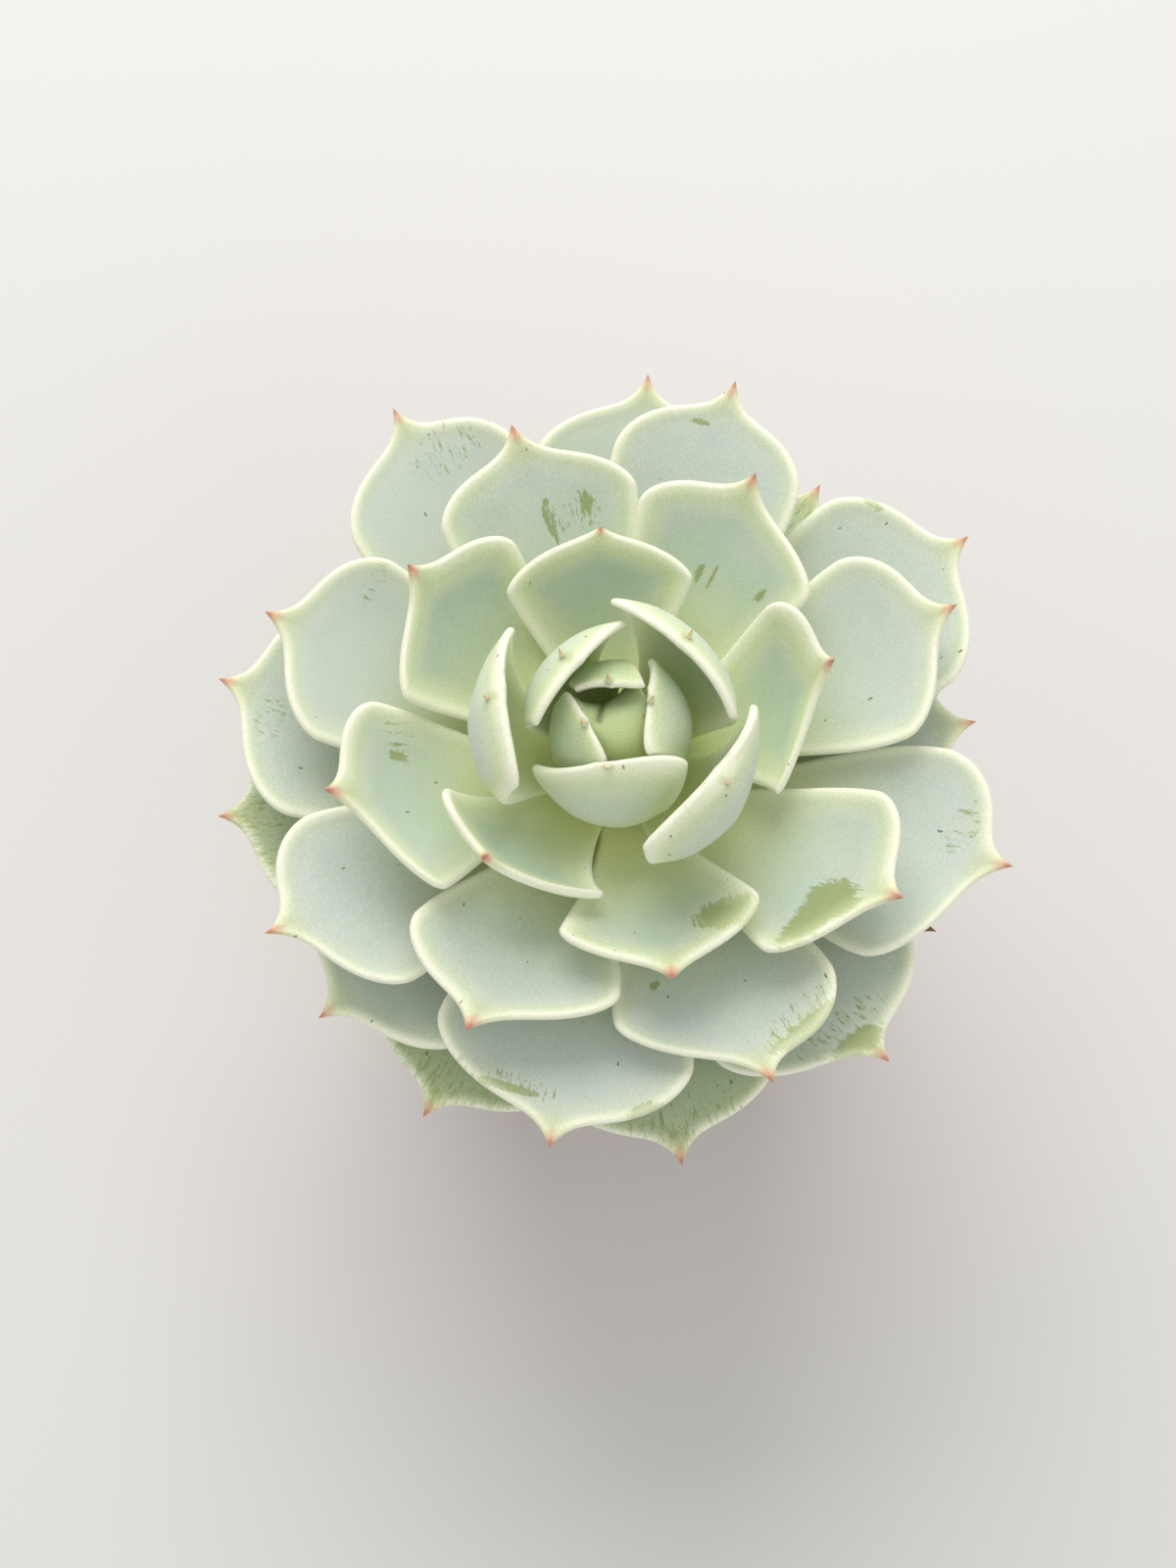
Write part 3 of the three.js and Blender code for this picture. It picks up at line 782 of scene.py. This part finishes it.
# Where the powder is rubbed off: leaf, millimetres from the spine's tip and to the left of the midrib, half
# sizes along and across, and the patch's turn in degrees.
RUBBED = (
    (16, 9.4, -3.2, 4.2, 3.9, 0), (16, 9.9, -7.5, 3.1, 6, 8),
    (13, 9.4, 10, 2.8, 5.2, -20),
    (21, 6.9, 8.8, 1.3, 6.6, 19), (21, 20.2, -8.5, 0.9, 0.9, 0),
    (17, 13.6, -7.2, 2.6, 0.8, 12), (17, 16.4, -1, 3.2, 0.55, 8), (17, 12.4, -1.2, 0.5, 0.6, 0),
    (15, 13.6, -6.8, 1.2, 1.2, 10),
    (26, 7.2, -7.5, 0.8, 5.2, 4), (26, 7.6, 13.4, 1.2, 2.6, 20),
    (27, 8.2, 14, 1.1, 2.6, 0),
    (12, 7, -13.4, 0.6, 0.5, 0),
    (14, 15, -7.6, 2, 0.5, 0), (14, 17, 0, 2, 0.35, 0), (14, 17.4, 2, 1.7, 0.3, 0),
    (29, 5, 0, 2, 4.4, 0),
    (22, 7.5, 3, 0.5, 1.6, 0),
    (28, 11, -8, 0.4, 1.6, 0),
)

# Where it is only scratched, in the same measures.
SCRATCHED = (
    (25, 9.4, -6, 3.4, 6.5, 12),
    (15, 14, -9.5, 2, 4.5, 0),
    (20, 13, -11, 1.5, 3.4, 0),
    (26, 8, -8, 2, 7, 0),
    (21, 8.6, 9.4, 2.2, 6.6, 19),
    (17, 15, -5, 3, 4, 0),
    (24, 9, 6, 2, 4, 0),
    (29, 8, 0, 3, 7, 0),
    (28, 9, 3, 2, 4, 0),
)

# How bare a rubbed and a scratched patch may be, how fast both end, and how bare a scuffed leaf is at these
# millimetres from its tip.
RUBBED_MOST = 1.0
SCRATCHED_MOST = 0.38
PATCH_FALL = 0.5
SCUFFED_AT = (1, 5, 12)
SCUFFED_BARE = (0.62, 0.46, 0.26)


def rubbed_at(k, along, across):
    """How bare the skin is. A patch has its most in the middle and less with the square of the distance, and
    a scuffed leaf is barer towards its tip."""
    bare = np.interp(along, SCUFFED_AT, SCUFFED_BARE) * (k >= SCUFFED_FROM)
    for most, patches in ((RUBBED_MOST, RUBBED), (SCRATCHED_MOST, SCRATCHED)):
        for _, at, aside, long, wide, turn in (patch for patch in patches if patch[0] == k):
            c, s = math.cos(math.radians(turn)), math.sin(math.radians(turn))
            x, y = across - aside, along - at
            reach = ((y * c - x * s) / long) ** 2 + ((x * c + y * s) / wide) ** 2
            bare = np.maximum(bare, np.minimum(1.0 - PATCH_FALL * reach, most))
    return np.clip(bare, 0, 1)


def dry_at(k, share):
    """How withered the dried leaf is: 0 near the stem and 1 near the tip."""
    return smooth((share - DRY_FROM) / DRY_RUN) * (k == DRIED_LEAF)


class ECHEVERIA_OT_leaves(bpy.types.Operator):
    """Make the leaves of the rosette"""
    bl_idname = "echeveria.leaves"
    bl_label = "Leaves"

    def execute(self, context):
        material = leaf_material(context.scene.echeveria_leaf)
        for k in range(len(LEAVES)):
            leaf_piece(k, material)
        return {"FINISHED"}


def turned(name, radius, height, around):
    """A solid of revolution closed by two poles on its axis, from rows of radius and height. A radius may
    differ round its row."""
    angle = np.linspace(0, 2 * math.pi, around, endpoint=False)[None, :]
    radius = radius * np.ones_like(angle)
    height = height * np.ones_like(angle)
    body = np.stack([radius * np.cos(angle), radius * np.sin(angle), height], -1)
    poles = np.array([[0, 0, height[0].mean()], [0, 0, height[-1].mean()]])
    quads, triangles = closed_faces(len(radius), around)
    return new_mesh(name, np.concatenate([body.reshape(-1, 3), poles]), quads, triangles)


def waves(angle, height, seed, turns, pitch, count):
    """A seeded sum of sine waves over angle and height, about 1 high, that closes round the axis."""
    rng = np.random.default_rng(seed)
    total = 0 * angle + 0 * height
    for _ in range(count):
        slant = rng.integers(*turns) * angle + rng.uniform(*pitch) * height
        total = total + np.sin(slant + rng.uniform(0, PHASES))
    return total / math.sqrt(count)


def bark_material(settings):
    """Corky grey-brown stem with painted shade in its hollows."""
    s = Shader("echeveria_stem")
    grain = s.noise(s.node("ShaderNodeTexCoord").outputs["Object"], 420.0, 5.0, 0.65)
    # Painted shade where the bark's bump is low.
    s.set_surface({"Base Color": s.mix(grain, BARK_HOLLOW_SHADE, settings.bark[:]), "Roughness": 0.85})
    s.bump(grain, 0.6, 0.0006)
    return s.material


class ECHEVERIA_OT_stem(bpy.types.Operator):
    """Make the stem with its leaf scars and root"""
    bl_idname = "echeveria.stem"
    bl_label = "Stem"

    def execute(self, context):
        ages = np.array(AGES[::-1], float)
        dome_radius = np.interp(ages, AGES, LAWS["root_radius"]) - STEM_GAP
        dome_height = np.interp(ages, AGES, LAWS["root_height"]) - STEM_DROP
        root_radius = [ROOT_END_RADIUS, ROOT_TOP_RADIUS - ROOT_TAPER, ROOT_TOP_RADIUS, NECK_RADIUS]
        root_height = [ROOT_BOTTOM + ROOT_END, SOIL_TOP - ROOT_SHOULDER, SOIL_TOP, SOIL_TOP + NECK_HEIGHT]
        radius = np.concatenate([root_radius, dome_radius])
        height = np.concatenate([root_height, dome_height])
        rows = np.linspace(height[0], height[-1], STEM_ROWS)
        angle = np.linspace(0, 2 * math.pi, STEM_AROUND, endpoint=False)[None, :]
        scars = np.abs(waves(angle, rows[:, None], *SCAR_WAVES))
        neck = smooth((rows - SOIL_TOP) / SCARS_OVER)[:, None]
        wide = np.interp(rows, height, radius)[:, None] - neck * SCAR_DEPTH * np.clip(1 - scars, 0, 1)
        # The bark stands on the pot's axis, but its solid and the leaves stand at PLANT_X and PLANT_Y.
        piece = turned("stem_bark", wide, rows[:, None], STEM_AROUND)
        dress(piece, "stem", bark_material(context.scene.echeveria_pot))
        return {"FINISHED"}


def pot_inside(height):
    """Inner radius of the pot's wall at a height."""
    return np.interp(height, (FLOOR, POT_HEIGHT), (FOOT_RADIUS - WALL, RIM_RADIUS - WALL - RIM_THICKER))


def soil_material(settings):
    """Dark crumbs with painted shade in the hollows between them, and brown and pale grains, by the grain
    attribute.
    """
    s = Shader("potting_soil")
    crumbs = s.noise(s.node("ShaderNodeTexCoord").outputs["Object"], 900.0, 4.0, 0.7)
    # Painted shade where the crumbs' bump is low.
    dark = s.mix(crumbs, SOIL_HOLLOW_SHADE, settings.soil[:])
    grain = s.attribute("grain")
    pale = s.mix(s.step(grain, 0.4, 0.9), BROWN_GRIT, settings.grit[:])
    s.set_surface({"Base Color": s.mix(s.step(grain, 0.05, 0.1), dark, pale), "Roughness": 0.92})
    s.bump(crumbs, 0.8, 0.001)
    return s.material


def soil_skin(hole, wall_top):
    """Points, quads and triangles of the soil: up the pot's wall, in over the crumbly top, and down the hole
    of the root. The rows' middles move from the pot's axis to the plant's as they near the root."""
    angle = np.linspace(0, 2 * math.pi, SOIL_AROUND, endpoint=False)[None, :]
    bottom = FLOOR + GAP
    top_radius = np.linspace(wall_top, hole, SOIL_ROWS)
    hole_radius = [hole - ROOT_TAPER, ROOT_END_RADIUS + GAP]
    hole_height = [SOIL_TOP - ROOT_SHOULDER, ROOT_BOTTOM + ROOT_END]
    radius = np.concatenate([[pot_inside(bottom) - GAP], top_radius, hole_radius])[:, None]
    height = np.concatenate([[bottom], np.full(SOIL_ROWS, SOIL_TOP), hole_height])[:, None]
    height = height * np.ones_like(angle)
    top = (height == SOIL_TOP) & (radius < wall_top - WALL_CLEAR) & (radius > hole + HOLE_CLEAR)
    height = height + top * CRUMB_HEIGHT * waves(angle, radius, *CRUMB_WAVES)
    to_plant = np.clip((wall_top - radius) / (wall_top - hole), 0, 1) * (height > bottom)
    x = radius * np.cos(angle) + PLANT_X * to_plant
    y = radius * np.sin(angle) + PLANT_Y * to_plant
    poles = np.array([[0, 0, bottom], [PLANT_X, PLANT_Y, ROOT_BOTTOM - GAP]])
    points = np.concatenate([np.stack([x, y, height], -1).reshape(-1, 3), poles])
    return points, *closed_faces(len(radius), SOIL_AROUND)


def loose_grains(hole, wall_top, count):
    """Points, quads, triangles and grain values of loose grains: one small rough ball each, scattered evenly
    over the soil's top."""
    rng = np.random.default_rng(GRAIN_SEED)
    lat = np.linspace(GRAIN_CAP, math.pi - GRAIN_CAP, GRAIN_ROWS)[:, None]
    lon = np.linspace(0, 2 * math.pi, GRAIN_AROUND, endpoint=False)[None, :]
    lump = np.stack([np.sin(lat) * np.cos(lon), np.sin(lat) * np.sin(lon), np.cos(lat) + 0 * lon], -1)
    lump = np.concatenate([lump[::-1].reshape(-1, 3), [[0, 0, -1], [0, 0, 1]]])
    far = np.sqrt(rng.uniform((hole + GRAIN_CLEAR) ** 2, (wall_top - GRAIN_CLEAR) ** 2, count))
    turn = rng.uniform(0, 2 * math.pi, count)
    size = rng.uniform(*GRAIN_SIZES, (count, 1, 1)) * rng.uniform(*GRAIN_STRETCH, (count, 1, 3))
    uneven = rng.uniform(*GRAIN_UNEVEN, (count, len(lump), 1))
    slide = np.clip((wall_top - far) / (wall_top - hole), 0, 1)
    x = far * np.cos(turn) + PLANT_X * slide
    y = far * np.sin(turn) + PLANT_Y * slide
    middle = np.stack([x, y, np.full(count, SOIL_TOP + GRAIN_LIFT)], -1)
    points = (lump * size * uneven + middle[:, None]).reshape(-1, 3)
    starts = (np.arange(count) * len(lump))[:, None, None]
    quads, triangles = ((faces + starts).reshape(-1, faces.shape[1])
                        for faces in closed_faces(GRAIN_ROWS, GRAIN_AROUND))
    tone = rng.uniform(*GRAIN_TONES, count) ** GRAIN_TONE_POWER + GRAIN_TONE_LEAST
    return points, quads, triangles, np.repeat(tone, len(lump))


class ECHEVERIA_OT_soil(bpy.types.Operator):
    """Make the soil with its crumbs and grains"""
    bl_idname = "echeveria.soil"
    bl_label = "Soil"

    def execute(self, context):
        settings = context.scene.echeveria_pot
        hole = ROOT_TOP_RADIUS + GAP
        wall_top = pot_inside(SOIL_TOP) - GAP
        points, quads, triangles = soil_skin(hole, wall_top)
        more_points, more_quads, more_triangles, grain = loose_grains(hole, wall_top, settings.grains)
        count = len(points)
        piece = new_mesh("soil_mix", np.concatenate([points, more_points]),
                         np.concatenate([quads, more_quads + count]),
                         np.concatenate([triangles, more_triangles + count]),
                         {"grain": np.concatenate([np.zeros(count), grain])})
        dress(piece, "soil", soil_material(settings))
        return {"FINISHED"}


def clay_material(settings):
    """Matt clay with fine grain, level turning lines and cloudy patches of chalk."""
    s = Shader("pot_clay")
    place = s.node("ShaderNodeTexCoord").outputs["Object"]
    grain = s.noise(place, 1500.0, 3.0, 0.6)
    cloud = s.noise(place, 38.0, 5.0, 0.6)
    lines = s.noise(s.mapped(place, (4, 4, 600)), 1.0, 2.0)
    chalk = s.math("MULTIPLY", s.step(cloud, 0.46, 0.68), 0.55)
    colour = s.mix(chalk, settings.clay[:], settings.chalk[:])
    s.set_surface({
        "Base Color": s.toned(colour, s.scale(grain, 0.3, 0.7, 0.88, 1.1)),
        "Roughness": 0.88,
        "Specular IOR Level": 0.3,
    })
    s.bump(s.math("ADD", grain, s.math("MULTIPLY", lines, 0.6)), 0.25, 0.0004)
    return s.material


class ECHEVERIA_OT_pot(bpy.types.Operator):
    """Make the plain clay pot"""
    bl_idname = "echeveria.pot"
    bl_label = "Pot"

    def execute(self, context):
        band_foot = POT_HEIGHT - RIM_HEIGHT
        inside = pot_inside(POT_HEIGHT)
        corners = np.array([
            [DRAIN_RADIUS, 0], [FOOT_RADIUS - EDGE, 0], [FOOT_RADIUS, EDGE], [BODY_RADIUS, band_foot],
            [RIM_RADIUS - BAND_EDGE - BAND_SLOPE, band_foot + BAND_SLOPE],
            [RIM_RADIUS - BAND_EDGE, band_foot + BAND_SLOPE + BAND_EDGE],
            [RIM_RADIUS, POT_HEIGHT - EDGE], [RIM_RADIUS - EDGE, POT_HEIGHT], [inside + EDGE, POT_HEIGHT],
            [inside - INNER_EDGE, POT_HEIGHT - EDGE], [pot_inside(FLOOR), FLOOR], [DRAIN_RADIUS, FLOOR],
        ])
        profile = rounded(corners, POT_ROUNDING, ROUNDING_POINTS)
        angle = np.linspace(0, 2 * math.pi, POT_AROUND, endpoint=False)[None, :]
        radius, height = profile[:, :1], profile[:, 1:]
        wobble = 1 - POT_WOBBLE * (1 + waves(angle, height, *POT_WAVES) / 2)
        x = radius * wobble * np.cos(angle)
        y = radius * wobble * np.sin(angle)
        points = np.stack([x, y, height + 0 * angle], -1).reshape(-1, 3)
        piece = new_mesh("pot_clay", points, ring_faces(len(profile), POT_AROUND), np.zeros((0, 3), int))
        dress(piece, "pot", clay_material(context.scene.echeveria_pot))
        return {"FINISHED"}


def ring_faces(rows, around):
    """Quads of a ring: rows of points that join round the axis, and the last row joins the first."""
    i = np.arange(rows)[:, None]
    j = np.arange(around)[None, :]
    k = (j + 1) % around
    up = (i + 1) % rows
    return np.stack([i * around + j, i * around + k, up * around + k, up * around + j], -1).reshape(-1, 4)


def rounded(corners, radius, steps):
    """A closed outline with each corner rounded: a quadratic curve from a point before it to one after it.
    Both are the radius away, or a share of the side where that is less."""
    before = np.roll(corners, 1, axis=0) - corners
    after = np.roll(corners, -1, axis=0) - corners
    cut_before = np.minimum(radius, np.linalg.norm(before, axis=1) * ROUNDING_MOST)[:, None]
    cut_after = np.minimum(radius, np.linalg.norm(after, axis=1) * ROUNDING_MOST)[:, None]
    start = corners + before / np.linalg.norm(before, axis=1)[:, None] * cut_before
    end = corners + after / np.linalg.norm(after, axis=1)[:, None] * cut_after
    t = np.linspace(0, 1, steps)[None, :, None]
    curve = start[:, None] * (1 - t) ** 2 + 2 * corners[:, None] * t * (1 - t) + end[:, None] * t ** 2
    return curve.reshape(-1, 2)


def area_light(name, place, target, size, power, colour):
    """A square light at a place in metres, facing a target."""
    light = bpy.data.lights.new(name, "AREA")
    light.size = size
    light.energy = power
    light.color = colour
    lamp = bpy.data.objects.new(name, light)
    lamp.location = place
    lamp.rotation_euler = (Vector(target) - Vector(place)).to_track_quat("-Z", "Y").to_euler()
    bpy.context.scene.collection.objects.link(lamp)


class ECHEVERIA_OT_stage(bpy.types.Operator):
    """Make the floor, the lights and the camera"""
    bl_idname = "echeveria.stage"
    bl_label = "Stage"

    def execute(self, context):
        settings = context.scene.echeveria_stage
        middle = Vector((PLANT_X, PLANT_Y, MIDDLE_HEIGHT)) * MM
        steps = np.linspace(-FLOOR_HALF, FLOOR_HALF, 2)
        grid = np.stack(np.meshgrid(steps, steps, [0.0], indexing="ij"), -1).reshape(-1, 3) / MM
        floor = new_mesh("floor", grid, np.array([[0, 2, 3, 1]]), np.zeros((0, 3), int))
        s = Shader("pale_floor")
        s.set_surface({"Base Color": settings.floor[:], "Roughness": 0.9})
        floor.data.materials.append(s.material)

        area_light("key", KEY_PLACE, middle, KEY_SIZE, settings.key, KEY_COLOUR)
        area_light("fill", FILL_PLACE, middle, FILL_SIZE, settings.key * FILL_SHARE, FILL_COLOUR)
        world = bpy.data.worlds.new("soft_studio")
        world.use_nodes = True
        sky = world.node_tree.nodes["Background"]
        sky.inputs["Color"].default_value = SKY_COLOUR
        sky.inputs["Strength"].default_value = SKY_STRENGTH
        context.scene.world = world
        context.scene.view_settings.view_transform = "Standard"

        camera = bpy.data.cameras.new("photo_camera")
        camera.sensor_width = SENSOR_WIDTH
        camera.lens = camera.sensor_width * settings.distance / (PHOTO_HEIGHT / PIXELS_PER_MM * MM)
        eye = bpy.data.objects.new("photo_camera", camera)
        back = Vector((0, -math.cos(settings.elevation), math.sin(settings.elevation)))
        turn = back.to_track_quat("Z", "Y")
        right, up = turn @ Vector((1, 0, 0)), turn @ Vector((0, 1, 0))
        aside = (PHOTO_WIDTH / 2 - MIDDLE_PIXEL[0]) / PIXELS_PER_MM * MM
        above = (MIDDLE_PIXEL[1] - PHOTO_HEIGHT / 2) / PIXELS_PER_MM * MM
        eye.location = middle + back * settings.distance + right * aside + up * above
        eye.rotation_euler = turn.to_euler()
        camera.clip_start = 0.01
        camera.clip_end = 20
        context.scene.collection.objects.link(eye)
        context.scene.camera = eye
        return {"FINISHED"}


class ECHEVERIA_PT_panel(bpy.types.Panel):
    """Lists the pieces of the plant"""
    bl_idname = "ECHEVERIA_PT_panel"
    bl_label = "Potted Lola Echeveria"
    bl_space_type = "VIEW_3D"
    bl_region_type = "UI"
    bl_category = "Echeveria"

    def draw(self, context):
        for operator in OPERATORS:
            self.layout.operator(operator.bl_idname)
        for group in ("echeveria_leaf", "echeveria_pot", "echeveria_stage"):
            settings = getattr(context.scene, group)
            box = self.layout.box()
            for name in settings.__annotations__:
                box.prop(settings, name)


OPERATORS = (ECHEVERIA_OT_leaves, ECHEVERIA_OT_stem, ECHEVERIA_OT_soil, ECHEVERIA_OT_pot, ECHEVERIA_OT_stage)
CLASSES = (LeafSettings, PotSettings, StageSettings, *OPERATORS, ECHEVERIA_PT_panel)


def register():
    """Registers the classes and puts their settings on the scene."""
    for item in CLASSES:
        bpy.utils.register_class(item)
    bpy.types.Scene.echeveria_leaf = bpy.props.PointerProperty(type=LeafSettings)
    bpy.types.Scene.echeveria_pot = bpy.props.PointerProperty(type=PotSettings)
    bpy.types.Scene.echeveria_stage = bpy.props.PointerProperty(type=StageSettings)


def unregister():
    """Takes the settings off the scene and unregisters the classes."""
    del bpy.types.Scene.echeveria_leaf
    del bpy.types.Scene.echeveria_pot
    del bpy.types.Scene.echeveria_stage
    for item in reversed(CLASSES):
        bpy.utils.unregister_class(item)


def main():
    """Makes every piece and the stage."""
    register()
    bpy.ops.echeveria.leaves()
    bpy.ops.echeveria.stem()
    bpy.ops.echeveria.soil()
    bpy.ops.echeveria.pot()
    bpy.ops.echeveria.stage()


if __name__ == "__main__":
    main()
